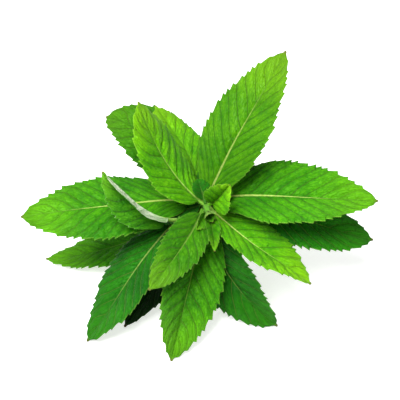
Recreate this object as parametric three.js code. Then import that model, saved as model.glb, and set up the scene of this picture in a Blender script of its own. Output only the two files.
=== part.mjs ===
// A freshly cut, leafy sprig of spearmint that lies on a table on the tips of its lower leaves.
// The square main stem rises from its cut end at the back to the growing tip in the middle, where
// it points at the viewer, and pairs of toothed leaves spread from its nodes. A short side shoot
// leaves the main stem on the left. Millimetres and degrees, +Z up, +X to the right, +Y to the
// back. The origin is on the table, under the middle of the whole sprig.
import * as THREE from "three";

// ---- Stems ---------------------------------------------------------------------------------
const MAIN_STEM_WIDTH = 3.4;        // across the flats of the square stem, at the cut end
const MAIN_STEM_TIP_WIDTH = 1.9;    // the same, at the growing tip
const SIDE_STEM_WIDTH = 2.0;
const SIDE_STEM_TIP_WIDTH = 1.5;
const STEM_CORNER = 0.25;           // chamfer of the four corners, as a share of the width
const NODE_SWELLING = 0.5;          // how much wider the stem is at a leaf pair
const NODE_LENGTH = 2.5;            // length of that swelling along the stem
const STEM_STEP = 2.5;              // spacing of the stem's sections

// The stems' centre lines, from the lower end to the growing tip.
const MAIN_STEM_LINE = new THREE.CubicBezierCurve3(
  new THREE.Vector3(3, 72, 1.7),
  new THREE.Vector3(2, 50, 3),
  new THREE.Vector3(-4, 24, 40),
  new THREE.Vector3(0, 0, 44));
const SIDE_STEM_LINE = new THREE.CubicBezierCurve3(
  new THREE.Vector3(-4.5, 24, 33),
  new THREE.Vector3(-7, 20, 32),
  new THREE.Vector3(-11, 11, 37),
  new THREE.Vector3(-12, -2, 38.5));

// ---- Leaves --------------------------------------------------------------------------------
const PETIOLE_DIAMETER = 1.6;
const BLADE_THICKNESS = 0.8;        // at the middle of each half, thinning to the edge
const MIDRIB_HEIGHT = 0.5;          // the midrib's ridge, below the blade
const TOOTH_PITCH = 4;
const TOOTH_DEPTH = 1.0;
const TOOTH_LEAN = 1.4;             // how far a tooth's point reaches towards the leaf's tip
const BLADE_BASE_POWER = 0.56;      // below 1: the rounded base of the blade
const BLADE_TIP_POWER = 0.78;       // nearer 1: the more tapered tip
const JOINT_GAP = 0.4;              // clear space between a petiole's foot and its stem
const SPINE_STEPS = 60;             // short straight runs that a leaf's curved middle line is made of

// One row per leaf. from: how far its node is from the stem's growing tip; heading and rise: the
// direction of its petiole; droop: how much it turns upwards (or down, if negative) over its
// base, middle and tip; sweep: how much it turns to its own left over each half; roll and twist:
// the tilt of the blade at its base, and what is added up to the tip; fold: how far each half
// stands up from the midrib.
const LEAVES = [
  { name: "leaf_1", stem: "main", from: 2.5, length: 18, width: 8, petiole: 1.5,
    heading: -77, rise: -8, droop: [0, -8, -14], sweep: [-6, -4], roll: 0, twist: 0, fold: 45 },
  { name: "leaf_2_left", stem: "main", from: 4, length: 42, width: 17, petiole: 2,
    heading: -108, rise: -6, droop: [-5, -12, -16], sweep: [-8, -6], roll: -22, twist: -6, fold: 14 },
  { name: "leaf_2_right", stem: "main", from: 4, length: 12.5, width: 18, petiole: 1.5,
    heading: -10, rise: 44, droop: [0, -5, -8], sweep: [12, 2], roll: 85, twist: -20, fold: 48 },
  { name: "leaf_3_left", stem: "main", from: 7, length: 49, width: 28, petiole: 3,
    heading: 159, rise: 33, droop: [14, 11, 5], sweep: [-6, -10], roll: 2, twist: -3, fold: -4 },
  { name: "leaf_3_right", stem: "main", from: 7, length: 51, width: 27, petiole: 5,
    heading: -40, rise: -20, droop: [0, 5, -9], sweep: [6, 7], roll: -4, twist: -17, fold: 12 },
  { name: "leaf_4_back", stem: "main", from: 11, length: 68, width: 31, petiole: 5,
    heading: 50, rise: 50, droop: [2, -6, -1], sweep: [-5, 4], roll: 5, twist: -17, fold: 11 },
  { name: "leaf_4_front", stem: "main", from: 11, length: 64, width: 27, petiole: 7,
    heading: -97, rise: -22, droop: [-11, -11, -4], sweep: [1, 4], roll: -27, twist: -6, fold: 18 },
  { name: "leaf_5_right", stem: "main", from: 15, length: 69, width: 33, petiole: 7,
    heading: -10, rise: 22, droop: [-18, -2, 0], sweep: [-5, 2], roll: 22, twist: -14, fold: 12 },
  { name: "leaf_5_left", stem: "main", from: 15, length: 74, width: 31, petiole: 9,
    heading: -167, rise: 15, droop: [-14, -4, -12], sweep: [-1, -6], roll: -8, twist: -16, fold: -3 },
  { name: "leaf_6_left", stem: "main", from: 21, length: 44, width: 21, petiole: 5,
    heading: 122, rise: 57, droop: [-4, -25, -2], sweep: [0, -3], roll: 14, twist: 6, fold: 3 },
  { name: "leaf_6_right", stem: "main", from: 21, length: 62, width: 26, petiole: 6,
    heading: -88, rise: -18.7, droop: [-18, -24, -22], sweep: [12, 8], roll: 38, twist: 5, fold: 18 },
  { name: "leaf_7_right", stem: "main", from: 27, length: 72, width: 29, petiole: 7,
    heading: -20, rise: 9.5, droop: [-7, -19, -5], sweep: [-2, 14], roll: 14, twist: 3, fold: 3 },
  { name: "leaf_7_left", stem: "main", from: 27, length: 76, width: 26, petiole: 8,
    heading: -170, rise: -33.5, droop: [0, 13, 9], sweep: [-7, -10], roll: -3, twist: 10, fold: 3 },
  { name: "leaf_8_left", stem: "main", from: 34, length: 56, width: 32, petiole: 7,
    heading: 161, rise: 49, droop: [0, -8, -57], sweep: [2, 5], roll: -12, twist: -8, fold: 9 },
  { name: "leaf_8_front", stem: "main", from: 34, length: 64, width: 23, petiole: 7,
    heading: -118.5, rise: -29, droop: [4, 4, 0], sweep: [-3, -6], roll: 10, twist: 0, fold: 12 },
  { name: "leaf_9_left", stem: "main", from: 50, length: 25, width: 12, petiole: 4,
    heading: 155, rise: 18, droop: [0, -8, -10], sweep: [0, 5], roll: 0, twist: 0, fold: 12 },
  { name: "leaf_9_right", stem: "main", from: 50, length: 23, width: 11, petiole: 4,
    heading: 25, rise: 14, droop: [0, -8, -12], sweep: [0, -5], roll: 0, twist: 0, fold: 12 },
  { name: "side_leaf_front", stem: "side", from: 8, length: 62, width: 27, petiole: 5,
    heading: -136, rise: -22.5, droop: [-7, -11, -2], sweep: [-1, -9], roll: 11, twist: 0, fold: 4 },
  { name: "side_leaf_left", stem: "side", from: 3, length: 38, width: 20, petiole: 7,
    heading: -157, rise: 20, droop: [-20, -12, 0], sweep: [-20, 0], roll: -114, twist: 0, fold: 57 },
  { name: "side_leaf_back", stem: "side", from: 8, length: 9, width: 6, petiole: 3,
    heading: 50, rise: -40, droop: [0, 0, 0], sweep: [0, 0], roll: 0, twist: 0, fold: 20 },
  { name: "side_leaf_right", stem: "side", from: 3, length: 5.5, width: 4, petiole: 1.2,
    heading: 35, rise: 5, droop: [0, 0, 0], sweep: [0, 0], roll: 0, twist: 0, fold: 20 },
];
const BUD_LENGTH = 4;
const BUD_WIDTH = 2.2;

const STEMS = {
  main: { line: MAIN_STEM_LINE, width: MAIN_STEM_WIDTH, tipWidth: MAIN_STEM_TIP_WIDTH },
  side: { line: SIDE_STEM_LINE, width: SIDE_STEM_WIDTH, tipWidth: SIDE_STEM_TIP_WIDTH },
};

const leafGreen = { color: 0x4f9a1e, roughness: 0.45, metalness: 0 };
const stemGreen = { color: 0x8fb45a, roughness: 0.5, metalness: 0 };

const radians = THREE.MathUtils.degToRad;
const { lerp, clamp } = THREE.MathUtils;

// A closed solid through rings of equally many points, each running anticlockwise when it is seen
// from the end that the solid grows towards. An end is a fan to its own middle point.
function loft(rings, lastPoint) {
  const around = rings[0].length;
  const corners = rings.flat();
  const first = corners.push(middleOf(rings[0])) - 1;
  const last = corners.push(lastPoint ?? middleOf(rings.at(-1))) - 1;
  const faces = [];
  for (let j = 0; j < around; j++) {
    const next = (j + 1) % around;
    faces.push(first, next, j);
    for (let i = 0; i + 1 < rings.length; i++) {
      const near = i * around;
      const far = near + around;
      faces.push(near + j, near + next, far + next, near + j, far + next, far + j);
    }
    const end = (rings.length - 1) * around;
    faces.push(last, end + j, end + next);
  }
  const geometry = new THREE.BufferGeometry().setFromPoints(corners);
  geometry.setIndex(faces);
  geometry.computeVertexNormals();
  return geometry;
}

function middleOf(points) {
  const sum = points.reduce((total, point) => total.add(point), new THREE.Vector3());
  return sum.divideScalar(points.length);
}

// A point and the direction of growth on a stem, measured back from its growing tip.
function placeOnStem(stem, fromTip) {
  const u = 1 - fromTip / stem.line.getLength();
  return { point: stem.line.getPointAt(u), growth: stem.line.getTangentAt(u) };
}

function stemWidthAt(name, fromTip) {
  const stem = STEMS[name];
  const plain = lerp(stem.tipWidth, stem.width, clamp(fromTip / stem.line.getLength(), 0, 1));
  const nodes = LEAVES.filter((leaf) => leaf.stem === name).map((leaf) => leaf.from);
  const nearest = Math.min(...nodes.map((from) => Math.abs(from - fromTip)));
  return plain + NODE_SWELLING * clamp(1 - nearest / NODE_LENGTH, 0, 1);
}

// A square stem with cut corners, tapering to its tip.
function stemSolid(name) {
  const { line } = STEMS[name];
  const length = line.getLength();
  const steps = Math.round(length / STEM_STEP);
  const side = new THREE.Vector3(1, 0, 0);
  const rings = [];
  for (let i = 0; i <= steps; i++) {
    const fromTip = length * (1 - i / steps);
    const { point, growth } = placeOnStem(STEMS[name], fromTip);
    const across = side.clone().addScaledVector(growth, -side.dot(growth)).normalize();
    const over = growth.clone().cross(across);
    const half = stemWidthAt(name, fromTip) / 2;
    const flat = half * (1 - 2 * STEM_CORNER);
    const outline = [[half, -flat], [half, flat], [flat, half], [-flat, half],
      [-half, flat], [-half, -flat], [-flat, -half], [flat, -half]];
    rings.push(outline.map(([x, y]) =>
      point.clone().addScaledVector(across, x).addScaledVector(over, y)));
  }
  return loft(rings);
}

// The leaf's middle line as a row of places, each with its own frame: forward towards the tip,
// left, and up out of the upper face.
function leafSpine(leaf) {
  const h = radians(leaf.heading);
  const r = radians(leaf.rise);
  const forward = new THREE.Vector3(
    Math.cos(r) * Math.cos(h), Math.cos(r) * Math.sin(h), Math.sin(r));
  const left = new THREE.Vector3(-Math.sin(h), Math.cos(h), 0)
    .applyAxisAngle(forward, radians(leaf.roll));
  const { point, growth } = placeOnStem(STEMS[leaf.stem], leaf.from);
  const outward = forward.clone().addScaledVector(growth, -forward.dot(growth)).normalize();
  const foot = stemWidthAt(leaf.stem, leaf.from) / 2 * Math.SQRT2 * (1 - STEM_CORNER / 2)
    + JOINT_GAP + PETIOLE_DIAMETER / 2 * Math.abs(forward.dot(growth));
  const place = point.clone().addScaledVector(outward, foot);
  const [droopBase, droopMiddle, droopTip] = leaf.droop.map(radians);
  const [sweepBase, sweepTip] = leaf.sweep.map(radians);
  const spine = [];
  for (let i = 0; i <= SPINE_STEPS; i++) {
    const up = forward.clone().cross(left);
    spine.push({ place: place.clone(), forward: forward.clone(), left: left.clone(), up });
    const t = (i + 0.5) / SPINE_STEPS;
    const droop = t < 0.25 ? droopBase / 0.25 : t < 0.6 ? droopMiddle / 0.35 : droopTip / 0.4;
    const sweep = 2 * (t < 0.5 ? sweepBase : sweepTip);
    place.addScaledVector(forward, leaf.length / SPINE_STEPS);
    const turned = forward.clone()
      .addScaledVector(up, droop / SPINE_STEPS)
      .addScaledVector(left, sweep / SPINE_STEPS)
      .normalize();
    left.addScaledVector(up, radians(leaf.twist) / SPINE_STEPS);
    left.addScaledVector(turned, -left.dot(turned)).normalize();
    forward.copy(turned);
  }
  return spine;
}

// The half width of a blade at t, from 0 at its base to 1 at its tip, for a greatest value of 1.
function bladeOutline(t) {
  const widest = BLADE_BASE_POWER / (BLADE_BASE_POWER + BLADE_TIP_POWER);
  return (t / widest) ** BLADE_BASE_POWER * ((1 - t) / (1 - widest)) ** BLADE_TIP_POWER;
}

// Petiole and blade as one solid: eight points around, round at the petiole and a thin lens with
// a midrib at the blade. Every other section of the blade ends in a forward-leaning tooth.
function leafSolid(leaf) {
  const spine = leafSpine(leaf);
  const blade = leaf.length - leaf.petiole;
  const teeth = Math.max(3, Math.round(blade / TOOTH_PITCH));
  const sections = [0, leaf.petiole * 0.6].map((s) => ({ s, half: 0, tooth: 0, lean: 0 }));
  for (let i = 1; i < 2 * teeth; i++) {
    const t = i / (2 * teeth);
    const room = Math.sin(Math.PI * t) ** 0.5;
    const pointed = i % 2 === 0;
    sections.push({
      s: leaf.petiole + blade * t,
      half: leaf.width / 2 * bladeOutline(t),
      tooth: (pointed ? 0.5 : -0.5) * TOOTH_DEPTH * room,
      lean: (pointed ? 0.5 : -0.3) * TOOTH_LEAN * room,
    });
  }
  const round = PETIOLE_DIAMETER / 2;
  const fullyFlat = 4 * round;      // a blade is a thin lens where it is at least this wide
  const rings = sections.map(({ s, half, tooth, lean }) => {
    const at = spine[Math.round(s / leaf.length * (spine.length - 1))];
    const flatness = clamp((half - round) / (fullyFlat - round), 0, 1);
    const wide = Math.max(half + tooth, round);
    const thick = lerp(round, BLADE_THICKNESS / 2, flatness);
    const fold = radians(leaf.fold) * flatness;
    const rib = flatness * MIDRIB_HEIGHT / thick;
    const outline = [[1, 0], [0.6, 0.8], [0, 1], [-0.6, 0.8],
      [-1, 0], [-0.6, -0.8], [0, -1 - rib], [0.6, -0.8]];
    return outline.map(([x, z]) => {
      const out = Math.abs(x) * wide;
      return at.place.clone()
        .addScaledVector(at.left, Math.sign(x) * out * Math.cos(fold))
        .addScaledVector(at.up, out * Math.sin(fold) + z * thick)
        .addScaledVector(at.forward, Math.abs(x) === 1 ? lean : 0);
    });
  });
  return loft(rings, spine.at(-1).place);
}

// The closed bud at a growing tip: a small pointed egg along the stem.
function budSolid(stemName) {
  const { point, growth } = placeOnStem(STEMS[stemName], 0);
  const profile = [[0, 0], [0.8, 0.15], [1, 0.4], [0.75, 0.7], [0.3, 0.93], [0, 1]].map(
    ([r, z]) => new THREE.Vector2(r * BUD_WIDTH / 2, z * BUD_LENGTH));
  const bud = new THREE.LatheGeometry(profile, 8);
  bud.applyQuaternion(new THREE.Quaternion().setFromUnitVectors(
    new THREE.Vector3(0, 1, 0), growth));
  const foot = point.addScaledVector(growth, JOINT_GAP);
  return bud.translate(foot.x, foot.y, foot.z);
}

const sprig = new THREE.Group();

function addPiece(name, geometry, look) {
  const piece = new THREE.Mesh(geometry, new THREE.MeshStandardMaterial(look));
  piece.name = name;
  sprig.add(piece);
}

for (const leaf of LEAVES) addPiece(leaf.name, leafSolid(leaf), leafGreen);
addPiece("main_stem", stemSolid("main"), stemGreen);
addPiece("side_stem", stemSolid("side"), stemGreen);
addPiece("terminal_bud", budSolid("main"), leafGreen);

// Stand the sprig on the table, with the origin under its middle.
const box = new THREE.Box3().setFromObject(sprig, true);
const middle = box.getCenter(new THREE.Vector3());
sprig.position.set(-middle.x, -middle.y, -box.min.z);
sprig.updateMatrixWorld(true);

export default sprig;
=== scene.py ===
"""Looks of a freshly cut sprig of spearmint that lies on a white table on the tips of its leaves.

Lengths are in millimetres until a mesh is made, and in metres from there on. A leaf is one thin
closed sheet with its petiole. Its blade is toothed, quilted between its side veins and grooved
along its midrib.
"""

import math
from collections import namedtuple

import bpy
import numpy as np
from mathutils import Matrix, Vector


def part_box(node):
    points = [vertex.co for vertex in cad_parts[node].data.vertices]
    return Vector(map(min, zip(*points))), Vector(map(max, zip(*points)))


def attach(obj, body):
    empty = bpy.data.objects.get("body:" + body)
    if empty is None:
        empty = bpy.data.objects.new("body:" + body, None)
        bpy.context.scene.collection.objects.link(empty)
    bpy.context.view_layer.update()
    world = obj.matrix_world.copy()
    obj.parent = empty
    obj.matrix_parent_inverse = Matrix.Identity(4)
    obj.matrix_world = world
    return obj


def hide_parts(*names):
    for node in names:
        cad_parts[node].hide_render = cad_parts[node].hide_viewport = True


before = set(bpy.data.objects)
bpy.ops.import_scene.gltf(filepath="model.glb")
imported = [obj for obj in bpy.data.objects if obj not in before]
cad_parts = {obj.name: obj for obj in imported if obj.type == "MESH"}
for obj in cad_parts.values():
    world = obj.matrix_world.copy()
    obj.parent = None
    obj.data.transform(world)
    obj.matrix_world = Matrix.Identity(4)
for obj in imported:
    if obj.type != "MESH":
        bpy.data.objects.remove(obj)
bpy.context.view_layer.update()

MM = 0.001

# ---- Stems -------------------------------------------------------------------------------------
STEM_CORNER = 0.25  # share of the stem's width that each corner of the CAD solid is cut back by
NODE_SWELLING = 0.5  # how much wider a stem is where a leaf stands
NODE_LENGTH = 2.5  # how far that swelling reaches along the stem, each way
CAD_RING_PITCH = 2.5  # between the rings of the CAD stem
STEM_RING_PITCH = 0.4  # between the rings of the stem that is shown
STEM_COLUMNS = 56  # points round each of those rings
CURVE_POINTS = 801  # along each stem's middle line
GROWTH_STEP = 0.1  # how far to each side the direction of growth is measured

# Rings that close a stem's ends: the size of each, and how far below the end it stands.
CUT_CAP = ((0.04, -0.35), (0.3, -0.32), (0.6, -0.2), (0.8, -0.05), (0.93, 0.02))
CLOSED_CAP = ((0.05, 0.6), (0.5, 0.5), (0.85, 0.25))
TIP_CAP = ((0.85, -0.35), (0.55, -0.6), (0.1, -0.75))

STEMS = {
    "main": {
        "line": [(3, 72, 1.7), (2, 50, 3), (-4, 24, 40), (0, 0, 44)],
        "width": 3.4,
        "tip_width": 1.9,
    },
    "side": {
        "line": [(-4.5, 24, 33), (-7, 20, 32), (-11, 11, 37), (-12, -2, 38.5)],
        "width": 2.0,
        "tip_width": 1.5,
    },
}

# ---- Leaves ------------------------------------------------------------------------------------
PETIOLE_DIAMETER = 1.6
THIN_RADIUS = 0.55  # of the petioles of the smallest leaves
SMALL_LEAF = 20  # leaves shorter than this have a thin petiole
JOINT_GAP = 0.4  # between the CAD solids of a stem and a petiole
PETIOLE_ROOT = 1.2  # how far a petiole is carried back over that gap, into the stem
SPINE_STEPS = 60  # straight runs that a leaf's curved middle line is made of
DROOP_SHARES = (0.25, 0.35, 0.4)  # how much of a leaf its base, middle and tip are
BASE_POWER = 0.56  # how full the blade is towards its base
TIP_POWER = 0.78  # and towards its tip
WIDEST = BASE_POWER / (BASE_POWER + TIP_POWER)

FULL_WIDTH = 26  # a leaf narrower than this has finer teeth and lower bulges
SHEET = 0.34  # thickness of the blade between its veins
TOOTH_PITCH = 3.5
TOOTH_DEPTH = 1.25  # about how far a tooth stands out from its notches
TOOTH_LEAN = 1.2  # how far a tooth points towards the leaf's tip
TOOTH_FALL = 0.2  # share of a tooth's pitch that drops from its point to the next notch
TOOTH_CURVE = 1.7  # how hollow a tooth's long side is
FEWEST_TEETH = 9
HALF_COLUMNS = 34  # points across each half of a blade
STATIONS_PER_TOOTH = 8
PETIOLE_RING_PITCH = 0.4
FIRST_RING, LAST_RING = 0.004, 0.994  # where the blade's rings start and end, as shares of it
WING_START = 0.45  # share of the petiole that is bare, below the blade's narrowing wing
WING_BLEND = 0.18  # share of the blade over which the wing turns into the full outline
VEIN_PITCH = 6.2  # between side veins, along the midrib
QUILT = 0.62  # height of the bulges between the side veins
FINE_QUILT = 0.28  # and of the small cells on each bulge
VEIN_STAGGER = 0.42  # how far the veins of one half stand ahead of the other's, in vein pitches
FEWEST_VEINS = 4.0

# from_tip: how far a leaf's node is from its stem's growing tip; heading and rise: the direction of
# its petiole; droop: how much it turns upwards (or down, if negative) over its base, middle and
# tip; sweep: how much it turns to its own left over each half; roll and twist: the tilt of the
# blade at its base, and what is added up to the tip; fold: how far each half stands up from the
# midrib; skin: its colours; rib_tone: how pale the midrib is; and last, painted shade: how much
# darker the leaf is painted than others of its skin, to stand for how little light reaches it.
Leaf = namedtuple(
    "Leaf",
    "stem from_tip length width petiole heading rise"
    " droop sweep roll twist fold"
    " skin rib_tone shade",
)
LEAVES = {
    "leaf_1": Leaf(
        stem="main", from_tip=2.5, length=18, width=8, petiole=1.5, heading=-77, rise=-8,
        droop=(0, -8, -14), sweep=(-6, -4), roll=0, twist=0, fold=45,
        skin="young", rib_tone=0.1, shade=0.1,
    ),
    "leaf_2_left": Leaf(
        stem="main", from_tip=4, length=42, width=17, petiole=2, heading=-108, rise=-6,
        droop=(-5, -12, -16), sweep=(-8, -6), roll=-22, twist=-6, fold=14,
        skin="young", rib_tone=0.3, shade=0.24,
    ),
    "leaf_2_right": Leaf(
        stem="main", from_tip=4, length=12.5, width=18, petiole=1.5, heading=-10, rise=44,
        droop=(0, -5, -8), sweep=(12, 2), roll=85, twist=-20, fold=48,
        skin="bright", rib_tone=0.2, shade=0.0,
    ),
    "leaf_3_left": Leaf(
        stem="main", from_tip=7, length=49, width=28, petiole=3, heading=159, rise=33,
        droop=(14, 11, 5), sweep=(-6, -10), roll=2, twist=-3, fold=-4,
        skin="bright", rib_tone=0.5, shade=0.0,
    ),
    "leaf_3_right": Leaf(
        stem="main", from_tip=7, length=51, width=27, petiole=5, heading=-40, rise=-20,
        droop=(0, 5, -9), sweep=(6, 7), roll=-4, twist=-17, fold=12,
        skin="bright", rib_tone=0.9, shade=0.0,
    ),
    "leaf_4_back": Leaf(
        stem="main", from_tip=11, length=68, width=31, petiole=5, heading=50, rise=50,
        droop=(2, -6, -1), sweep=(-5, 4), roll=5, twist=-17, fold=11,
        skin="bright", rib_tone=0.9, shade=0.34,
    ),
    "leaf_4_front": Leaf(
        stem="main", from_tip=11, length=64, width=27, petiole=7, heading=-97, rise=-22,
        droop=(-11, -11, -4), sweep=(1, 4), roll=-27, twist=-6, fold=18,
        skin="mid", rib_tone=0.35, shade=0.15,
    ),
    "leaf_5_right": Leaf(
        stem="main", from_tip=15, length=69, width=33, petiole=7, heading=-10, rise=22,
        droop=(-18, -2, 0), sweep=(-5, 2), roll=22, twist=-14, fold=12,
        skin="mid", rib_tone=1.0, shade=0.0,
    ),
    "leaf_5_left": Leaf(
        stem="main", from_tip=15, length=74, width=31, petiole=9, heading=-167, rise=15,
        droop=(-14, -4, -12), sweep=(-1, -6), roll=-8, twist=-16, fold=-3,
        skin="mid", rib_tone=0.95, shade=0.1,
    ),
    "leaf_6_left": Leaf(
        stem="main", from_tip=21, length=44, width=21, petiole=5, heading=122, rise=57,
        droop=(-4, -25, -2), sweep=(0, -3), roll=14, twist=6, fold=3,
        skin="bright", rib_tone=0.05, shade=0.06,
    ),
    "leaf_6_right": Leaf(
        stem="main", from_tip=21, length=62, width=26, petiole=6, heading=-88, rise=-18.7,
        droop=(-18, -24, -22), sweep=(12, 8), roll=38, twist=5, fold=18,
        skin="dark", rib_tone=0.4, shade=0.3,
    ),
    "leaf_7_right": Leaf(
        stem="main", from_tip=27, length=72, width=29, petiole=7, heading=-20, rise=9.5,
        droop=(-7, -19, -5), sweep=(-2, 14), roll=14, twist=3, fold=3,
        skin="dark", rib_tone=0.65, shade=0.0,
    ),
    "leaf_7_left": Leaf(
        stem="main", from_tip=27, length=76, width=26, petiole=8, heading=-170, rise=-33.5,
        droop=(0, 13, 9), sweep=(-7, -10), roll=-3, twist=10, fold=3,
        skin="mid", rib_tone=0.3, shade=0.0,
    ),
    "leaf_8_left": Leaf(
        stem="main", from_tip=34, length=56, width=32, petiole=7, heading=161, rise=49,
        droop=(0, -8, -57), sweep=(2, 5), roll=-12, twist=-8, fold=9,
        skin="mid", rib_tone=0.1, shade=0.34,
    ),
    "leaf_8_front": Leaf(
        stem="main", from_tip=34, length=64, width=23, petiole=7, heading=-118.5, rise=-29,
        droop=(4, 4, 0), sweep=(-3, -6), roll=10, twist=0, fold=12,
        skin="deep", rib_tone=0.2, shade=0.35,
    ),
    "leaf_9_left": Leaf(
        stem="main", from_tip=50, length=25, width=12, petiole=4, heading=155, rise=18,
        droop=(0, -8, -10), sweep=(0, 5), roll=0, twist=0, fold=12,
        skin="mid", rib_tone=0.4, shade=0.2,
    ),
    "leaf_9_right": Leaf(
        stem="main", from_tip=50, length=23, width=11, petiole=4, heading=25, rise=14,
        droop=(0, -8, -12), sweep=(0, -5), roll=0, twist=0, fold=12,
        skin="mid", rib_tone=0.4, shade=0.2,
    ),
    "side_leaf_front": Leaf(
        stem="side", from_tip=8, length=62, width=27, petiole=5, heading=-136, rise=-22.5,
        droop=(-7, -11, -2), sweep=(-1, -9), roll=11, twist=0, fold=4,
        skin="dark", rib_tone=0.5, shade=0.22,
    ),
    "side_leaf_left": Leaf(
        stem="side", from_tip=3, length=38, width=20, petiole=7, heading=-157, rise=20,
        droop=(-20, -12, 0), sweep=(-20, 0), roll=-114, twist=0, fold=57,
        skin="pale", rib_tone=0.8, shade=0.1,
    ),
    "side_leaf_back": Leaf(
        stem="side", from_tip=8, length=9, width=6, petiole=3, heading=50, rise=-40,
        droop=(0, 0, 0), sweep=(0, 0), roll=0, twist=0, fold=20,
        skin="young", rib_tone=0.3, shade=0.2,
    ),
    "side_leaf_right": Leaf(
        stem="side", from_tip=3, length=5.5, width=4, petiole=1.2, heading=35, rise=5,
        droop=(0, 0, 0), sweep=(0, 0), roll=0, twist=0, fold=20,
        skin="young", rib_tone=0.3, shade=0.1,
    ),
}

# The bud's leaves. turn: where each stands round the growing tip; splay: how far it leans out;
# and the last field is painted shade, as for the leaves above.
BudLeaf = namedtuple("BudLeaf", "turn length width splay skin shade")
BUD_LEAVES = (
    BudLeaf(214, 9.5, 7.5, 72, "young", 0.0),
    BudLeaf(35, 6.5, 5.6, 50, "young", 0.1),
    BudLeaf(300, 5.5, 4.4, 46, "mid", 0.1),
    BudLeaf(130, 6.5, 5.0, 44, "young", 0.15),
)
BUD_FOOT = 0.45  # from the stem's middle line to where a bud leaf starts
BUD_ROOT = 0.6  # how far its petiole is carried back
BUD_RADIUS = 0.35  # of its petiole
BUD_PETIOLE = 0.8  # its length
BUD_FOLD = 36
BUD_DROOP = (20, 15, 10)
BUD_RIB_TONE = 0.0

AXIL_RADIUS = 0.5  # of the petioles of the leaves in the axils


def axil_leaf(from_tip, length, width, heading, rise, roll, skin):
    """A small leaf of a side bud, darkened with painted shade."""
    return Leaf(
        stem="main", from_tip=from_tip, length=length, width=width, petiole=1.5,
        heading=heading, rise=rise, droop=(0, -10, -14), sweep=(0, 4), roll=roll, twist=0,
        fold=14, skin=skin, rib_tone=0.15, shade=0.25,
    )


AXIL_LEAVES = (
    axil_leaf(10, 18, 13, -168, -14, -12, "dark"),
    axil_leaf(12, 15, 11, -125, -24, 0, "mid"),
    axil_leaf(9, 12, 9, 20, 30, 20, "mid"),
    axil_leaf(13, 14, 10, -35, -10, 8, "dark"),
    axil_leaf(6, 10, 8, 112, 44, 0, "dark"),
    axil_leaf(18, 16, 11, 75, 38, 0, "dark"),
)

# Where each table's random numbers start.
LEAF_SEED, LEAF_SEED_STEP = 101, 7
BUD_SEED = 11
AXIL_SEED = 31


# ---- Small helpers -----------------------------------------------------------------------------
def unit(v):
    """Vectors made one unit long."""
    return v / np.linalg.norm(v, axis=-1, keepdims=True)


def smooth(value, low, high):
    """0 below low, 1 above high, and an S curve in between."""
    x = np.clip((value - low) / (high - low), 0, 1)
    return x * x * (3 - 2 * x)


def add_mesh(name, points, faces, attributes, material):
    """A smooth-shaded mesh object from points in millimetres."""
    mesh = bpy.data.meshes.new(name)
    mesh.from_pydata((np.asarray(points) * MM).tolist(), [], faces)
    for key, values in attributes.items():
        layer = mesh.attributes.new(key, "FLOAT", "POINT")
        layer.data.foreach_set("value", np.asarray(values, np.float32))
    mesh.polygons.foreach_set("use_smooth", [True] * len(mesh.polygons))
    mesh.materials.append(material)
    mesh.validate()
    thing = bpy.data.objects.new(name, mesh)
    bpy.context.scene.collection.objects.link(thing)
    return thing


def loft_faces(rings, around):
    """Quads between closed rings of equally many points, numbered ring after ring."""
    faces = []
    for i in range(rings - 1):
        near = i * around
        far = near + around
        for j in range(around):
            k = (j + 1) % around
            faces.append((near + j, near + k, far + k, far + j))
    return faces


# ---- Stems' shape ------------------------------------------------------------------------------
def trace(stem):
    """Give a stem the points of its cubic curve, how far along each one is, and its length."""
    t = np.linspace(0, 1, CURVE_POINTS)[:, None]
    a, b, c, d = (np.array(p, float) for p in stem["line"])
    points = (1 - t) ** 3 * a + 3 * (1 - t) ** 2 * t * b + 3 * (1 - t) * t**2 * c + t**3 * d
    steps = np.linalg.norm(np.diff(points, axis=0), axis=1)
    stem["points"] = points
    stem["along"] = np.concatenate([[0], np.cumsum(steps)])
    stem["length"] = float(stem["along"][-1])


for stem in STEMS.values():
    trace(stem)


def point_on(stem, from_tip):
    """The point of a stem's middle line at a distance from its growing tip."""
    s = stem["length"] - from_tip
    return np.array([np.interp(s, stem["along"], stem["points"][:, k]) for k in range(3)])


def place_on(stem, from_tip):
    """A point on a stem and the direction of growth there."""
    near = min(max(from_tip, GROWTH_STEP), stem["length"] - GROWTH_STEP)
    growth = unit(point_on(stem, near - GROWTH_STEP) - point_on(stem, near + GROWTH_STEP))
    return point_on(stem, from_tip), growth


def stem_width(name, from_tip):
    """A stem narrows towards its growing tip, and swells a little at each node."""
    stem = STEMS[name]
    share = min(max(from_tip / stem["length"], 0), 1)
    plain = stem["tip_width"] + (stem["width"] - stem["tip_width"]) * share
    nodes = [leaf.from_tip for leaf in LEAVES.values() if leaf.stem == name]
    nearest = min(abs(node - from_tip) for node in nodes)
    return plain + NODE_SWELLING * max(0, 1 - nearest / NODE_LENGTH)


def stem_frame(stem, from_tip):
    """A point on a stem, the direction of growth, and two directions across the stem."""
    point, growth = place_on(stem, from_tip)
    side = np.array([1.0, 0, 0])
    across = unit(side - side.dot(growth) * growth)
    return point, growth, across, np.cross(growth, across)


def rough_stem_box(name):
    """The box of the stem as eight-sided rings, which is how its CAD solid is made."""
    stem = STEMS[name]
    steps = round(stem["length"] / CAD_RING_PITCH)
    found = []
    for i in range(steps + 1):
        from_tip = stem["length"] * (1 - i / steps)
        point, growth, across, over = stem_frame(stem, from_tip)
        half = stem_width(name, from_tip) / 2
        flat = half * (1 - 2 * STEM_CORNER)
        for x, y in ((half, flat), (flat, half), (-half, flat), (-flat, half)):
            found += [point + across * x + over * y, point + across * x - over * y]
    return np.min(found, axis=0), np.max(found, axis=0)


# Everything is first built around the growing tip, and then moved to where the CAD part stands.
low, high = rough_stem_box("main")
cad_low, cad_high = (np.array(corner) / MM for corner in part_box("main_stem"))
SHIFT = ((cad_low - low) + (cad_high - high)) / 2


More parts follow.
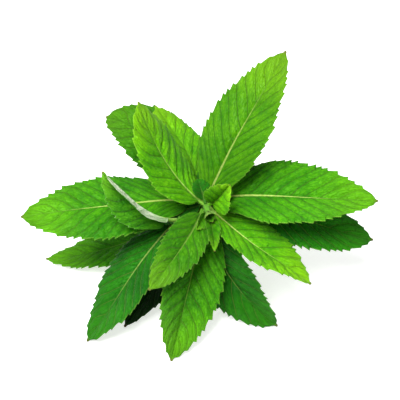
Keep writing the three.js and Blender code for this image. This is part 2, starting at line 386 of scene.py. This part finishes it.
def build_stem(name, piece, material, cut_end):
    """A square stem with ridged corners and hollowed sides, and a cut or a closed lower end."""
    stem = STEMS[name]
    around = STEM_COLUMNS
    rings = int(stem["length"] / STEM_RING_PITCH)
    angle = np.arange(around) / around * 2 * math.pi
    corner = np.abs(np.sin(2 * angle)) ** 3
    rounded = (np.abs(np.cos(angle)) ** 3 + np.abs(np.sin(angle)) ** 3) ** (-1 / 3)
    profile = rounded * (1 - 0.07 * np.cos(2 * angle) ** 4)
    points, ridge, along, cut, turn = [], [], [], [], []

    def ring(from_tip, size, back, is_cut):
        point, growth, across, over = stem_frame(stem, from_tip)
        half = stem_width(name, from_tip) / 2 * size
        shape = profile * half
        offset = across * (shape * np.cos(angle))[:, None] + over * (shape * np.sin(angle))[:, None]
        points.extend(point - growth * back + offset)
        ridge.extend(corner * size)
        along.extend([from_tip] * around)
        cut.extend([is_cut] * around)
        turn.extend(angle / (2 * math.pi))

    for size, back in CUT_CAP if cut_end else CLOSED_CAP:
        ring(stem["length"], size, back, 1.0 if cut_end else 0.0)
    for i in range(rings + 1):
        ring(stem["length"] * (1 - i / rings), 1.0, 0.0, 0.0)
    for size, back in TIP_CAP:
        ring(0, size, back, 0.0)
    count = len(points) // around
    faces = loft_faces(count, around)
    faces.append(tuple(range(around))[::-1])
    faces.append(tuple((count - 1) * around + j for j in range(around)))
    values = {"ridge": ridge, "from_tip": along, "cut": cut, "turn": turn}
    return add_mesh(piece, np.array(points) + SHIFT, faces, values, material)


# ---- Leaves' shape -----------------------------------------------------------------------------
def turned(v, axis, angle):
    """v turned about a unit axis, by an angle in radians."""
    return v * math.cos(angle) + np.cross(axis, v) * math.sin(angle)


def run_spine(place, forward, left, length, droop, sweep, twist):
    """The middle line as places with their forward, left and up directions."""
    droop = [math.radians(a) for a in droop]
    sweep = [math.radians(a) for a in sweep]
    base, middle, tip = DROOP_SHARES
    rows = []
    for i in range(SPINE_STEPS + 1):
        up = np.cross(forward, left)
        rows.append((place, forward, left, up))
        t = (i + 0.5) / SPINE_STEPS
        if t < base:
            bend = droop[0] / base
        elif t < base + middle:
            bend = droop[1] / middle
        else:
            bend = droop[2] / tip
        swing = 2 * (sweep[0] if t < 0.5 else sweep[1])
        place = place + forward * (length / SPINE_STEPS)
        ahead = unit(forward + up * (bend / SPINE_STEPS) + left * (swing / SPINE_STEPS))
        left = left + up * (math.radians(twist) / SPINE_STEPS)
        left = unit(left - left.dot(ahead) * ahead)
        forward = ahead
    return [np.array(column) for column in zip(*rows)]


def leaf_spine(leaf):
    """The middle line of a leaf that stands on its stem, with a small gap between them."""
    h, r = math.radians(leaf.heading), math.radians(leaf.rise)
    forward = np.array([math.cos(r) * math.cos(h), math.cos(r) * math.sin(h), math.sin(r)])
    left = turned(np.array([-math.sin(h), math.cos(h), 0.0]), forward, math.radians(leaf.roll))
    point, growth = place_on(STEMS[leaf.stem], leaf.from_tip)
    lean = forward.dot(growth)
    outward = unit(forward - lean * growth)
    foot = stem_width(leaf.stem, leaf.from_tip) / 2 * math.sqrt(2) * (1 - STEM_CORNER / 2)
    foot += JOINT_GAP + PETIOLE_DIAMETER / 2 * abs(lean)
    start = point + outward * foot
    return run_spine(start, forward, left, leaf.length, leaf.droop, leaf.sweep, leaf.twist)


def outline(t):
    """Half width of a blade at t, from its base at 0 to its tip at 1, for a greatest value of 1."""
    t = np.clip(t, 0, 1)
    return (t / WIDEST) ** BASE_POWER * ((1 - t) / (1 - WIDEST)) ** TIP_POWER


def along_spine(spine, s, length):
    """Places and directions at distances s along a spine, on a smooth curve through its points."""
    places, forwards, lefts, _ = spine
    step = length / SPINE_STEPS
    k = np.clip(s / step, 0, SPINE_STEPS - 1e-6)
    i = k.astype(int)
    f = (k - i)[:, None]
    a, b = places[i], places[i + 1]
    ta, tb = forwards[i] * step, forwards[i + 1] * step
    at = (2 * f**3 - 3 * f**2 + 1) * a + (f**3 - 2 * f**2 + f) * ta
    at = at + (3 * f**2 - 2 * f**3) * b + (f**3 - f**2) * tb
    at = at + np.minimum(s, 0)[:, None] * forwards[0]
    forward = unit(forwards[i] * (1 - f) + forwards[i + 1] * f)
    left = lefts[i] * (1 - f) + lefts[i + 1] * f
    left = unit(left - (left * forward).sum(1, keepdims=True) * forward)
    return at, forward, left, np.cross(forward, left)


def tooth_shape(t, teeth, sizes, offset):
    """How far up a tooth each t is, from 0 to 1 at the tooth's point, and that tooth's size."""
    phase = t * teeth + offset
    index = np.clip(np.floor(phase), 0, len(sizes) - 1).astype(int)
    p = phase - np.floor(phase)
    peak = 1 - TOOTH_FALL
    rise = np.where(p < peak, (p / peak) ** TOOTH_CURVE, (1 - p) / TOOTH_FALL)
    return rise, sizes[index]


def stations(length, petiole, teeth, root):
    """Distances along a leaf at which it has a ring, and how far up the blade each one counts.

    The blade runs down along the petiole as a narrowing wing, to where the petiole is bare.
    """
    blade = length - petiole
    bare = petiole * WING_START
    on_blade = np.linspace(FIRST_RING, LAST_RING, teeth * STATIONS_PER_TOOTH)
    rings = max(10, int((petiole + root) / PETIOLE_RING_PITCH))
    on_petiole = np.linspace(-root, petiole, rings)[:-1]
    s = np.concatenate([on_petiole, petiole + blade * on_blade])
    share = smooth(s, bare, petiole + WING_BLEND * blade)
    t = (s - bare) / (length - bare) * (1 - share) + (s - petiole) / blade * share
    return s, np.clip(t, 0, LAST_RING)


def toothed_margin(rng, T, a, side, teeth, scale):
    """How far the teeth push each point outwards and ahead, and how near a tooth's tip it is."""
    room = np.sin(math.pi * np.clip(T, 0.0, 1)) ** 0.5
    deep = TOOTH_DEPTH * (0.45 + 0.55 * scale)
    rim = np.clip((a - 0.7) / 0.3, 0, 1) ** 1.6
    tooth = np.zeros((T.shape[0], a.shape[1]))
    bite = np.zeros((T.shape[0], a.shape[1]))
    for sign in (-1, 1):
        sizes = rng.uniform(0.45, 1.35, teeth + 2)
        drift = 0.25 * np.sin(T * 9 + rng.uniform(0, 6)) + rng.uniform(0, 0.6)
        drift = drift + 0.24 * np.sin(T * 29 + rng.uniform(0, 6))
        rise, size = tooth_shape(T, teeth, sizes, drift)
        chosen = side == sign
        tooth = np.where(chosen, (rise - 0.4) * size, tooth)
        bite = np.where(chosen, rise, bite)
    outward = deep * room * tooth * rim
    ahead = TOOTH_LEAN * (0.4 + 0.6 * scale) * room * (bite - 0.4) * rim
    return outward, ahead, bite * rim * room


def close_sheet(top, bottom, heel, tip):
    """Points and faces of a closed sheet, from rows of points of its two sides and its two ends.

    A ring is the upper side from right to left, then the lower side back to the right. Two more
    things are returned: a function that spreads a value of each place on the leaf over those
    points, and which side of the leaf each point is on.
    """
    order = np.arange(2 * HALF_COLUMNS, -1, -1)
    back = np.arange(1, 2 * HALF_COLUMNS)
    rings = np.concatenate([top[:, order], bottom[:, back]], axis=1)
    count, around = rings.shape[:2]
    points = np.concatenate([rings.reshape(-1, 3), heel[None, :], tip[None, :]])
    first, last = count * around, count * around + 1
    faces = [f[::-1] for f in loft_faces(count, around)]
    end = (count - 1) * around
    for j in range(around):
        k = (j + 1) % around
        faces.append((first, j, k))
        faces.append((last, end + k, end + j))

    def spread(values):
        full = np.broadcast_to(values, (count, len(order)))
        both = np.concatenate([full[:, order], full[:, back]], axis=1).reshape(-1)
        return np.concatenate([both, [full[0].mean(), full[-1].mean()]])

    # 1 on the upper side, -1 on the lower one, 0 along the margin and at the two ends
    face_side = np.concatenate([np.ones(2 * HALF_COLUMNS + 1), -np.ones(2 * HALF_COLUMNS - 1)])
    face_side[[0, 2 * HALF_COLUMNS]] = 0.0
    upside = np.concatenate([np.tile(face_side, count), [0, 0]])
    return points, faces, spread, upside


def build_leaf(
    name, spine, length, width, petiole, fold, material, seed, rib_tone, shade, root, radius
):
    """One leaf as a closed thin sheet, with its petiole, and with the values its material reads.

    In the grids below, each row is a station along the leaf and each column a place across it: T
    goes from 0 at the blade's base to 1 at its tip, c from -1 at the right margin to 1 at the left.
    """
    rng = np.random.default_rng(seed)
    blade = length - petiole
    scale = min(1.0, width / FULL_WIDTH)
    teeth = max(FEWEST_TEETH, round(blade / (TOOTH_PITCH * (0.35 + 0.65 * scale))))
    veins = max(FEWEST_VEINS, blade / VEIN_PITCH)
    s, t = stations(length, petiole, teeth, root)
    at, forward, left, up = along_spine(spine, s, length)

    u = np.linspace(-1, 1, 2 * HALF_COLUMNS + 1)
    c = u - 0.075 * np.sin(2 * math.pi * u)
    a = np.abs(c)[None, :]
    side = np.sign(c)[None, :]
    T = t[:, None]
    half = (width / 2 * outline(t))[:, None]

    outward, ahead, bite = toothed_margin(rng, T, a, side, teeth, scale)
    x = c[None, :] * half + side * outward
    reach = np.abs(x)

    # side veins, the bulges between them, and a fine network inside each bulge
    xi = T - (0.3 * a + 0.07 * a**2) * (1 - 0.4 * T)
    q = veins * np.sign(xi) * np.abs(xi) ** 0.92 + np.where(side > 0, VEIN_STAGGER, 0.0)
    q = q + 0.09 * np.sin(4.1 * a + 7 * T + rng.uniform(0, 6)) + 0.05 * np.sin(11 * a - 19 * T)
    pillow = np.abs(np.sin(math.pi * q)) ** 0.7
    near_rib = smooth(reach, 0.35, 2.2)
    near_edge = 1 - 0.75 * a**5
    size = 0.3 + 0.7 * smooth(half, 2, 10)
    lumps = 1 + 0.35 * np.sin(2.3 * q + 1.7 * reach / 3 + rng.uniform(0, 6))
    quilt = QUILT * scale * size * near_rib * near_edge * lumps * (pillow - 0.45)
    rung = reach / 2.1 + 0.35 * np.sin(math.pi * q * 2) + 0.3 * np.sin(4 * T * veins)
    cells = np.abs(np.sin(math.pi * q * 2.5)) ** 0.8 * np.abs(np.sin(math.pi * rung)) ** 0.8
    quilt = quilt + FINE_QUILT * scale * size * near_rib * near_edge * (cells - 0.4)

    # slow waves of the whole blade and of its margins
    wave = 0.0
    for _ in range(4):
        wave = wave + rng.uniform(0.05, 0.14) * np.sin(
            rng.uniform(3, 9) * T * length / 60 + rng.uniform(-0.3, 0.3) * x + rng.uniform(0, 6)
        )
    edge_wave = 0.35 * np.sin(T * blade / rng.uniform(2.6, 3.4) + side + rng.uniform(0, 6)) * a**3
    camber = 0.05 * half * 4 * a * (1 - a)
    middle = quilt + scale * size * (wave * near_rib + edge_wave) + camber

    # the midrib is a groove above and a keel below, and the margin is thin
    rib = 0.15 + 0.85 * (1 - T) ** 0.9
    groove = 0.32 * scale * rib * np.exp(-((x / (0.25 + 0.45 * rib)) ** 2))
    keel = 0.95 * scale * rib * np.exp(-((x / (0.2 + 0.5 * rib)) ** 2))
    on_vein = np.exp(-((np.minimum(q % 1, 1 - q % 1) / 0.06) ** 2)) * near_rib * near_edge
    sheet = SHEET * (0.5 + 0.5 * scale) * (1 - 0.55 * a**3)
    upper = middle + sheet / 2 - groove
    lower = middle - sheet / 2 - keel - 0.14 * scale * on_vein

    # the petiole is a tube with a channel along its top, and widens where it meets the stem
    tube = radius * (1 + 0.15 * smooth(-s, -1.4, 0.6) + 0.1 * smooth(s, petiole - 3, petiole))
    tube = tube[:, None] * (1 - 0.35 * smooth(T, 0, 0.25))
    bend = c[None, :] * math.pi / 2
    tube_x = tube * np.sin(bend)
    tube_up = tube * np.cos(bend) * 0.92 - 0.3 * tube * np.exp(-((np.sin(bend) / 0.35) ** 2))
    tube_low = -tube * np.cos(bend)
    flat = smooth(half, radius * 0.5, radius * 4.2)

    # each half of the blade folds up about the midrib
    tilt = math.radians(fold) * flat
    hinge = np.clip(c / 0.07, -1, 1)[None, :]
    rise_x = np.sqrt(x**2 + 0.09) - 0.3

    def sheet_points(height, tube_height):
        """One side of the leaf: a petiole that turns into a folded blade."""
        flat_x = x * np.cos(tilt) - hinge * np.sin(tilt) * height
        flat_z = rise_x * np.sin(tilt) + height * np.cos(tilt)
        px = tube_x * (1 - flat) + flat_x * flat
        pz = tube_height * (1 - flat) + flat_z * flat
        return (
            at[:, None, :]
            + left[:, None, :] * px[..., None]
            + up[:, None, :] * pz[..., None]
            + forward[:, None, :] * (ahead * flat)[..., None]
        )

    top = sheet_points(upper, tube_up)
    bottom = sheet_points(lower, tube_low)
    margin = (top + bottom) / 2
    for column in (0, -1):
        top[:, column] = margin[:, column]

    end_point = spine[0][-1] + forward[-1] * 0.15
    points, faces, spread, upside = close_sheet(top, bottom, at[0], end_point)
    values = {
        "vein": spread(q),
        "rib_x": spread(x * flat),
        "along": spread(T),
        "across": spread(a * flat),
        "bite": spread(bite),
        "blade": spread(flat),
        "upside": upside,
        "rib_tone": np.full(len(points), rib_tone),
        "shade": np.full(len(points), shade),
    }
    return add_mesh(name, points + SHIFT, faces, values, material)


# ---- Materials ---------------------------------------------------------------------------------
class Graph:
    """A material's nodes, made one at a time."""

    def __init__(self, name):
        self.material = bpy.data.materials.new(name)
        self.material.use_nodes = True
        self.tree = self.material.node_tree
        self.tree.nodes.clear()

    def put(self, node, key, value):
        """Set an input to a constant, or link it."""
        socket = node.inputs[key]
        if isinstance(value, bpy.types.NodeSocket):
            self.tree.links.new(value, socket)
        elif socket.type == "RGBA":
            socket.default_value = (*value, 1.0)
        else:
            socket.default_value = value

    def add(self, kind, inputs, **settings):
        node = self.tree.nodes.new(kind)
        for key, value in settings.items():
            setattr(node, key, value)
        for key, value in inputs.items():
            self.put(node, key, value)
        return node

    def math(self, operation, a, b=0.0, clamp=False):
        inputs = {0: a, 1: b}
        return self.add("ShaderNodeMath", inputs, operation=operation, use_clamp=clamp).outputs[0]

    def times(self, a, b):
        return self.math("MULTIPLY", a, b)

    def plus(self, a, b, clamp=False):
        return self.math("ADD", a, b, clamp)

    def minus(self, a, b):
        return self.math("SUBTRACT", a, b)

    def ramp(self, value, low, high, start=0.0, end=1.0):
        """From start, where the value is at low, to end, where it is at high."""
        inputs = {"Value": value, "From Min": low, "From Max": high, "To Min": start, "To Max": end}
        node = self.add("ShaderNodeMapRange", inputs, interpolation_type="SMOOTHSTEP")
        return node.outputs[0]

    def mix(self, factor, a, b, blend="MIX"):
        node = self.tree.nodes.new("ShaderNodeMix")
        node.data_type = "RGBA"
        node.blend_type = blend
        for index, value in ((0, factor), (6, a), (7, b)):
            self.put(node, index, value)
        return node.outputs[2]

    def value(self, name):
        """A mesh attribute."""
        return self.add("ShaderNodeAttribute", {}, attribute_name=name).outputs["Fac"]

    def combine(self, x, y, z):
        return self.add("ShaderNodeCombineXYZ", {0: x, 1: y, 2: z}).outputs[0]

    def noise(self, where, scale, detail=3.0):
        inputs = {"Vector": where, "Scale": scale, "Detail": detail}
        return self.add("ShaderNodeTexNoise", inputs).outputs[0]

    def cell_edges(self, where, scale):
        """The distance to the nearest edge of a net of irregular cells."""
        inputs = {"Vector": where, "Scale": scale}
        node = self.add("ShaderNodeTexVoronoi", inputs, feature="DISTANCE_TO_EDGE")
        return node.outputs["Distance"]

    def place(self):
        return self.add("ShaderNodeTexCoord", {}).outputs["Object"]


# Features per metre of the noise in the leaves' skin.
CLOUD = 75.0
PATCH = 420.0
SPECK = 1100.0

BROWN = (98, 74, 44)
MIDRIB_DARK, MIDRIB_PALE = (176, 205, 92), (202, 222, 122)
PETIOLE_GREEN = (70, 132, 28)
PALE_VEIN = (168, 206, 84)
LIT_THROUGH = (1.35, 1.3, 0.4)  # what light that comes through a leaf does to its colour
THROUGH = 0.3  # share of the light that comes through


def srgb(r, g, b):
    """A colour written as 0 to 255 values, as the linear values that a shader takes."""
    out = []
    for level in (r / 255, g / 255, b / 255):
        out.append(level / 12.92 if level <= 0.04045 else ((level + 0.055) / 1.055) ** 2.4)
    return tuple(out)


def leaf_material(name, bright, deep, vein_tint, vein_pale, back):
    """Leaf skin: veins, mottling, a pale back; painted light on bulges, painted shade in grooves.
    """
    g = Graph(name)
    where = g.place()
    vein, rib_x, along = g.value("vein"), g.value("rib_x"), g.value("along")
    across, bite, upside = g.value("across"), g.value("bite"), g.value("upside")
    blade, rib_tone = g.value("blade"), g.value("rib_tone")
    width = g.math("ABSOLUTE", rib_x)
    fraction = g.math("FRACT", g.plus(vein, 40.5))
    off_vein = g.math("ABSOLUTE", g.minus(fraction, 0.5))
    inside = g.times(g.ramp(across, 1.0, 0.8), g.ramp(along, 1.0, 0.86))
    inside = g.times(inside, blade)
    core = g.times(g.ramp(off_vein, 0.026, 0.01), inside)
    # painted shade along the side veins, and painted light on the bulges between them
    painted_vein_shade = g.times(g.ramp(off_vein, 0.07, 0.022), inside)
    painted_bulge_light = g.ramp(off_vein, 0.1, 0.45)

    # the fine network of small veins between the side veins
    warp = g.noise(where, PATCH, 2.0)
    grid = g.combine(
        g.plus(g.times(vein, 3.4), warp),
        g.plus(g.times(rib_x, 0.62), warp),
        0.0,
    )
    cells = g.cell_edges(grid, 1.0)
    net = g.times(g.ramp(cells, 0.14, 0.0), blade)
    small = g.cell_edges(grid, 2.7)
    fine_net = g.times(g.ramp(small, 0.16, 0.0), blade)

    # the upper side: bright and deep green in clouds, patches and specks, with painted light on the
    # bulges, painted shade in the grooves along the side veins and a painted highlight towards the
    # tip
    painted_tip_highlight = tuple(a * b for a, b in zip(bright, (1.8, 1.1, 3.0)))
    cloud = g.noise(where, CLOUD, 3.0)
    speck = g.noise(where, SPECK, 2.0)
    patch = g.noise(where, PATCH, 3.0)
    light = g.plus(g.times(g.ramp(cloud, 0.35, 0.68), 0.5), 0.2)
    light = g.plus(light, g.times(painted_bulge_light, 0.16))
    light = g.plus(light, g.times(g.minus(speck, 0.5), 0.55))
    light = g.plus(light, g.times(g.minus(patch, 0.5), 0.9))
    # painted highlight: lighter towards the tip
    light = g.plus(light, g.times(g.ramp(along, 0.55, 1.0), 0.12), clamp=True)
    top = g.mix(light, deep, bright)
    top = g.mix(g.times(net, 0.5), top, deep)
    top = g.mix(g.times(fine_net, 0.24), top, deep)
    # painted shade: the grooves along the side veins darkened towards a much darker green
    groove = tuple(0.4 * level for level in deep)
    top = g.mix(g.times(painted_vein_shade, 0.75), top, groove)
    top = g.mix(g.times(core, vein_pale), top, vein_tint)
    # painted highlight: yellower towards the tip
    top = g.mix(g.ramp(along, 0.5, 1.0, 0.0, 0.4), top, painted_tip_highlight)
    edge = g.ramp(across, 0.955, 1.0)
    top = g.mix(g.times(edge, 0.25), top, vein_tint)

    # the lower side: paler and duller, with pale veins
    dull = (back[0] * 0.7, back[1] * 0.8, back[2] * 0.7)
    under = g.mix(g.times(cloud, 0.6), back, dull)
    under = g.mix(g.times(net, 0.5), under, vein_tint)
    under = g.mix(g.ramp(along, 0.16, 0.02, 0.0, 0.7), under, vein_tint)
    under = g.mix(g.times(g.ramp(off_vein, 0.09, 0.02), 0.6), under, vein_tint)
    skin = g.mix(g.ramp(upside, -0.1, 0.1), under, top)

    # the midrib fades towards the leaf's tip, where it turns into a dark line of painted shade in
    # its groove, and runs back into the petiole
    wide = g.ramp(along, 0.0, 0.65, 0.46, 0.12)
    rib = g.ramp(g.minus(width, wide), 0.12, -0.1)
    rib = g.times(rib, g.ramp(along, 0.98, 0.55, 0.25, 1.0))
    stalk = g.mix(g.ramp(speck, 0.3, 0.7), srgb(*MIDRIB_DARK), srgb(*MIDRIB_PALE))
    # painted shade: the outer part of the midrib darkened as its groove
    stalk = g.mix(g.ramp(along, 0.5, 0.75, 0.0, 0.75), stalk, deep)
    stalk = g.mix(g.ramp(blade, 0.6, 0.05, 0.0, 0.6), stalk, srgb(*PETIOLE_GREEN))
    stalk = g.mix(rib_tone, g.mix(0.35, deep, bright), stalk)
    skin = g.mix(g.times(rib, 0.9), skin, stalk)
    # painted shade: each leaf darkened towards black by its own amount
    skin = g.mix(g.value("shade"), skin, (0.0, 0.01, 0.0))

    # brown points on the teeth and on the tip
    tips = g.times(g.ramp(bite, 0.8, 1.0), g.ramp(across, 0.95, 1.0))
    tips = g.math("MAXIMUM", g.times(tips, 0.55), g.ramp(along, 0.965, 0.995, 0.0, 0.7))
    skin = g.mix(tips, skin, srgb(*BROWN))

    # a fine grain, and veins that stand a little lower than the skin
    rough = g.ramp(speck, 0.25, 0.75, 0.36, 0.52)
    rough = g.plus(rough, g.ramp(upside, 0.1, -0.1, 0.0, 0.16))
    height = g.plus(g.times(net, -0.55), g.times(fine_net, -0.3))
    height = g.plus(height, g.times(speck, 0.5))
    height = g.plus(height, g.times(patch, 1.1))
    height = g.minus(height, g.times(core, 0.5))
    bump = g.add("ShaderNodeBump", {"Strength": 0.8, "Distance": 0.0003, "Height": height})
    normal = bump.outputs[0]
    surface = g.add(
        "ShaderNodeBsdfPrincipled",
        {
            "Base Color": skin,
            "Roughness": rough,
            "Specular IOR Level": 0.1,
            "Sheen Weight": 0.02,
            "Sheen Roughness": 0.5,
            "Sheen Tint": srgb(225, 240, 200),
            "Normal": normal,
        },
    )
    through = g.mix(1.0, skin, LIT_THROUGH, blend="MULTIPLY")
    behind = g.add("ShaderNodeBsdfTranslucent", {"Color": through, "Normal": normal})
    shaders = {0: THROUGH, 1: surface.outputs[0], 2: behind.outputs[0]}
    both = g.add("ShaderNodeMixShader", shaders)
    g.add("ShaderNodeOutputMaterial", {"Surface": both.outputs[0]})
    return g.material


def stem_material(name):
    """Pale green stem, purplish along its corners, with fine lengthwise lines and a pithy cut."""
    g = Graph(name)
    where = g.place()
    ridge, from_tip, cut, turn = (g.value(k) for k in ("ridge", "from_tip", "cut", "turn"))
    lengthwise = g.combine(g.times(turn, 60.0), g.times(from_tip, 0.35), 0.0)
    lines = g.noise(lengthwise, 1.0, 3.0)
    speck = g.noise(where, 900.0, 3.0)
    colour = g.mix(g.ramp(lines, 0.3, 0.7), srgb(96, 142, 46), srgb(160, 192, 92))
    colour = g.mix(g.times(g.ramp(speck, 0.5, 0.75), 0.35), colour, srgb(190, 214, 130))
    colour = g.mix(g.ramp(from_tip, 16.0, 4.0, 0.0, 0.85), colour, srgb(58, 118, 16))
    old = g.ramp(from_tip, 15.0, 70.0)
    purple = g.times(g.ramp(ridge, 0.35, 1.0), g.times(old, 0.65))
    colour = g.mix(purple, colour, srgb(112, 70, 72))
    pith = g.mix(g.ramp(speck, 0.35, 0.65), srgb(206, 220, 168), srgb(232, 238, 206))
    colour = g.mix(cut, colour, pith)
    height = g.plus(lines, g.times(speck, 0.5))
    bump = g.add("ShaderNodeBump", {"Strength": 0.5, "Distance": 0.00015, "Height": height})
    surface = g.add(
        "ShaderNodeBsdfPrincipled",
        {
            "Base Color": colour,
            "Roughness": g.ramp(speck, 0.3, 0.7, 0.4, 0.55),
            "Specular IOR Level": 0.2,
            "Sheen Weight": 0.03,
            "Normal": bump.outputs[0],
        },
    )
    g.add("ShaderNodeOutputMaterial", {"Surface": surface.outputs[0]})
    return g.material


def table_material():
    """A white surface that glows faintly, so that it stays as white as in the photo."""
    g = Graph("white_table")
    speck = g.noise(g.place(), 60.0, 4.0)
    colour = g.mix(speck, (0.64, 0.64, 0.64), (0.67, 0.67, 0.67))
    surface = g.add("ShaderNodeBsdfPrincipled", {"Base Color": colour, "Roughness": 0.6})
    g.put(surface, "Specular IOR Level", 0.1)
    g.put(surface, "Emission Color", (1.0, 1.0, 1.0))
    g.put(surface, "Emission Strength", 0.62)
    g.add("ShaderNodeOutputMaterial", {"Surface": surface.outputs[0]})
    return g.material


# Each kind of skin: the greens of its bulges and its grooves, its side veins' colour and how much
# of it shows, and its lower side. The dark skin is partly painted shade and the deep skin is
# painted shade, for leaves that lie in the shade of others; the pale skin's near-white lower side
# is partly its own pale back and partly painted light.
SKIN_COLOURS = {
    "bright": ((108, 182, 8), (50, 128, 2), PALE_VEIN, 0.12, (124, 172, 66)),
    "mid": ((84, 166, 8), (28, 104, 2), PALE_VEIN, 0.14, (112, 164, 70)),
    "dark": ((42, 134, 6), (8, 84, 1), PALE_VEIN, 0.34, (92, 146, 64)),
    "deep": ((12, 70, 4), (2, 34, 1), PALE_VEIN, 0.14, (70, 118, 52)),
    "young": ((94, 168, 12), (38, 112, 4), (180, 214, 110), 0.16, (140, 188, 80)),
    "pale": ((84, 160, 20), (28, 104, 6), (120, 170, 88), 0.2, (238, 244, 220)),
}
SKINS = {}
for kind, (bright, deep, vein, vein_pale, back) in SKIN_COLOURS.items():
    SKINS[kind] = leaf_material(
        "leaf_skin_" + kind, srgb(*bright), srgb(*deep), srgb(*vein), vein_pale, srgb(*back)
    )
stem_skin = stem_material("stem_skin")

# ---- The sprig ---------------------------------------------------------------------------------
def grow_leaf(name, leaf, seed, radius):
    """The piece for one leaf that stands on its stem."""
    return build_leaf(
        name, leaf_spine(leaf), leaf.length, leaf.width, leaf.petiole, leaf.fold,
        SKINS[leaf.skin], seed, leaf.rib_tone, leaf.shade, PETIOLE_ROOT, radius,
    )


pieces = []
for number, (name, leaf) in enumerate(LEAVES.items()):
    radius = THIN_RADIUS if leaf.length < SMALL_LEAF else PETIOLE_DIAMETER / 2
    piece = grow_leaf("skin_" + name, leaf, LEAF_SEED + LEAF_SEED_STEP * number, radius)
    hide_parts(name)
    pieces.append(piece)

main_piece = build_stem("main", "skin_main_stem", stem_skin, True)
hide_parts("main_stem")
side_piece = build_stem("side", "skin_side_stem", stem_skin, False)
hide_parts("side_stem")
pieces += [main_piece, side_piece]

# The bud: two pairs of tiny, half-folded leaves round the growing tip.
tip_point, tip_growth, tip_across, tip_over = stem_frame(STEMS["main"], 0)
for number, leaf in enumerate(BUD_LEAVES):
    turn, splay = math.radians(leaf.turn), math.radians(leaf.splay)
    outward = tip_across * math.cos(turn) + tip_over * math.sin(turn)
    forward = unit(tip_growth * math.cos(splay) + outward * math.sin(splay))
    inward = unit(-outward + forward * outward.dot(forward))
    start = tip_point + outward * BUD_FOOT
    spine = run_spine(
        start, forward, np.cross(inward, forward), leaf.length, BUD_DROOP, sweep=(0, 0), twist=0
    )
    bud = build_leaf(
        f"bud_leaf_{number + 1}", spine, leaf.length, leaf.width, BUD_PETIOLE, BUD_FOLD,
        SKINS[leaf.skin], BUD_SEED + number, BUD_RIB_TONE, leaf.shade, BUD_ROOT, BUD_RADIUS,
    )
    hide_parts("terminal_bud")
    pieces.append(bud)

# Small leaves of the side buds, tucked into the leaf axils, and darkened with painted shade.
for number, leaf in enumerate(AXIL_LEAVES):
    piece = grow_leaf(f"axil_leaf_{number + 1}", leaf, AXIL_SEED + number, AXIL_RADIUS)
    pieces.append(piece)

for piece in pieces:
    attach(piece, "root")

# ---- Table, lights and camera ------------------------------------------------------------------
TABLE_SIZE = 6.0
TABLE_DROP = 0.0002  # keeps the table's face just under the lowest leaf tips
WORLD_STRENGTH = 0.58

bpy.ops.mesh.primitive_plane_add(size=TABLE_SIZE, location=(0, 0, -TABLE_DROP))
table = bpy.context.object
table.name = "white_table"
table.data.materials.append(table_material())

world = bpy.data.worlds.new("soft_white")
world.use_nodes = True
backdrop = world.node_tree.nodes["Background"]
backdrop.inputs["Color"].default_value = (1, 1, 1, 1)
backdrop.inputs["Strength"].default_value = WORLD_STRENGTH
bpy.context.scene.world = world


def softbox(name, place, target, size, power):
    """A round area light, turned towards its target."""
    lamp = bpy.data.lights.new(name, "AREA")
    lamp.shape = "DISK"
    lamp.size = size
    lamp.energy = power
    thing = bpy.data.objects.new(name, lamp)
    thing.location = place
    thing.rotation_euler = (Vector(target) - Vector(place)).to_track_quat("-Z", "Y").to_euler()
    bpy.context.scene.collection.objects.link(thing)


softbox("overhead", place=(-0.2, -0.26, 0.66), target=(0, 0, 0.03), size=0.5, power=14.0)

# The camera stands far off behind a long lens, and aims a little left of the growing tip
# and above it.
ELEVATION = math.radians(38)
LENS, SENSOR = 90, 36
DISTANCE = 400
AIM_LEFT, AIM_ABOVE = 3.2, 4.8
right_way = np.array([1.0, 0, 0])
up_way = np.array([0, math.sin(ELEVATION), math.cos(ELEVATION)])
view_way = np.array([0, math.cos(ELEVATION), -math.sin(ELEVATION)])
target = point_on(STEMS["main"], 0) + SHIFT - AIM_LEFT * right_way + AIM_ABOVE * up_way
camera = bpy.data.cameras.new("camera")
camera.lens = LENS
camera.sensor_width = SENSOR
camera_thing = bpy.data.objects.new("camera", camera)
camera_thing.location = (target - DISTANCE * view_way) * MM
camera_thing.rotation_euler = Vector(view_way).to_track_quat("-Z", "Y").to_euler()
bpy.context.scene.collection.objects.link(camera_thing)
bpy.context.scene.camera = camera_thing
bpy.context.scene.view_settings.view_transform = "Standard"
